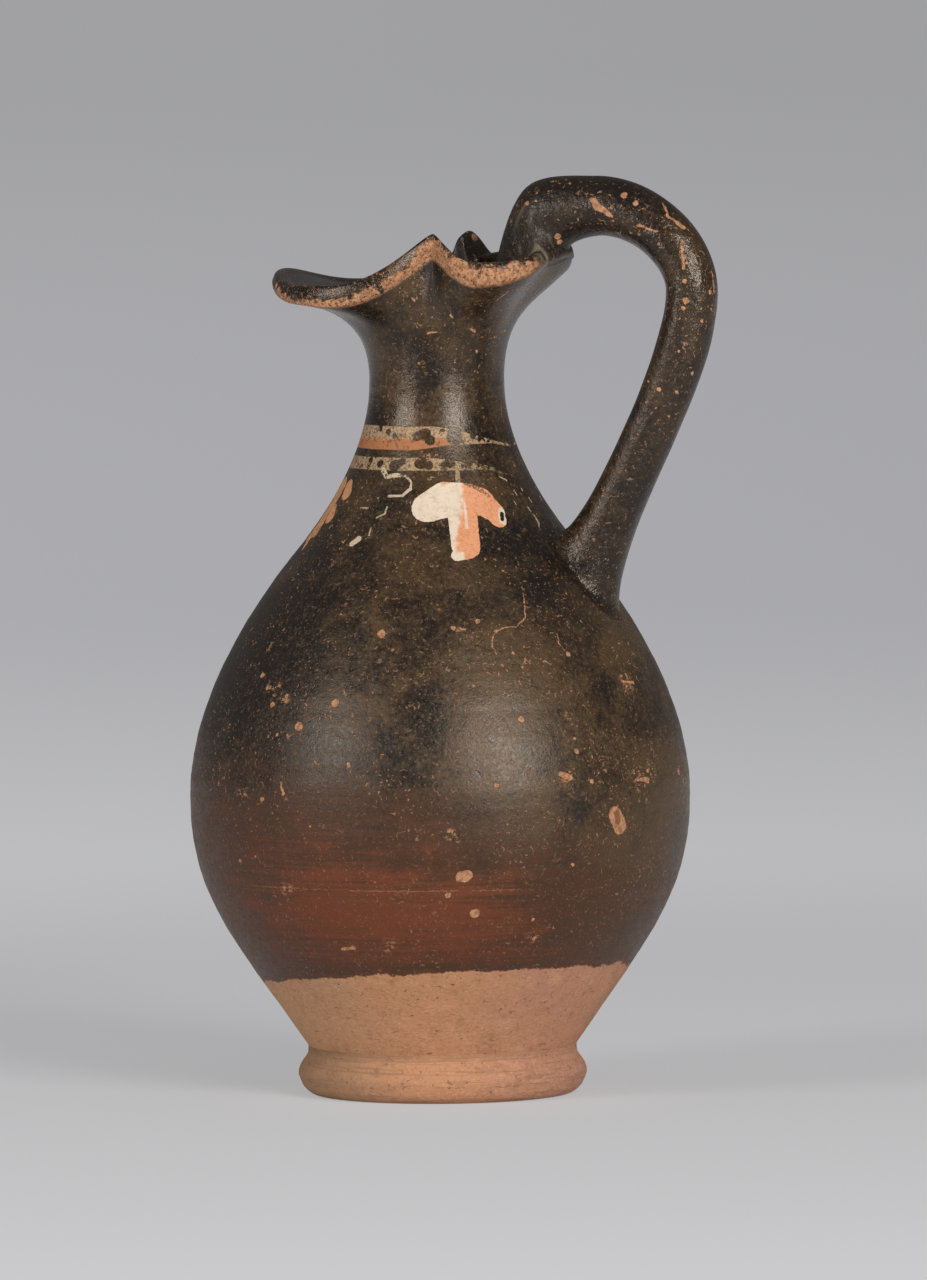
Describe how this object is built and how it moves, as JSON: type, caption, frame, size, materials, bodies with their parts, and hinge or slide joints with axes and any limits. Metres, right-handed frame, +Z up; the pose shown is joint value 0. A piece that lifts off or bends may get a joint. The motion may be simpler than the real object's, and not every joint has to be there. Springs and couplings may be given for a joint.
{
  "type": "trefoil-mouthed jug",
  "caption": "Pear-bellied pouring jug with a narrow neck, a pinched trefoil mouth, a high-swung rod handle and a turned ring foot, in black-slipped clay.",
  "frame": {"origin": "centre of the ring that the jug stands on, in the table's plane", "axes": "+Z up along the axis that the belly was turned on, -X towards the pouring spout, +X towards the handle"},
  "size_m": [0.1233, 0.113, 0.2068],
  "materials": {
    "black_slip": "burnished black-brown clay slip, half gloss, worn to the clay in flecks",
    "bare_clay": "matt fired clay",
    "joint_clay": "matt fired clay"
  },
  "bodies": {
    "root": {"foot": "bare_clay", "belly": "black_slip", "neck": "black_slip", "handle": "black_slip", "lower_handle_wad": "black_slip", "upper_handle_wad": "black_slip", "foot_slip": "joint_clay", "neck_slip": "joint_clay", "lower_handle_slip": "joint_clay", "upper_handle_slip": "joint_clay"}
  },
  "joints": []
}
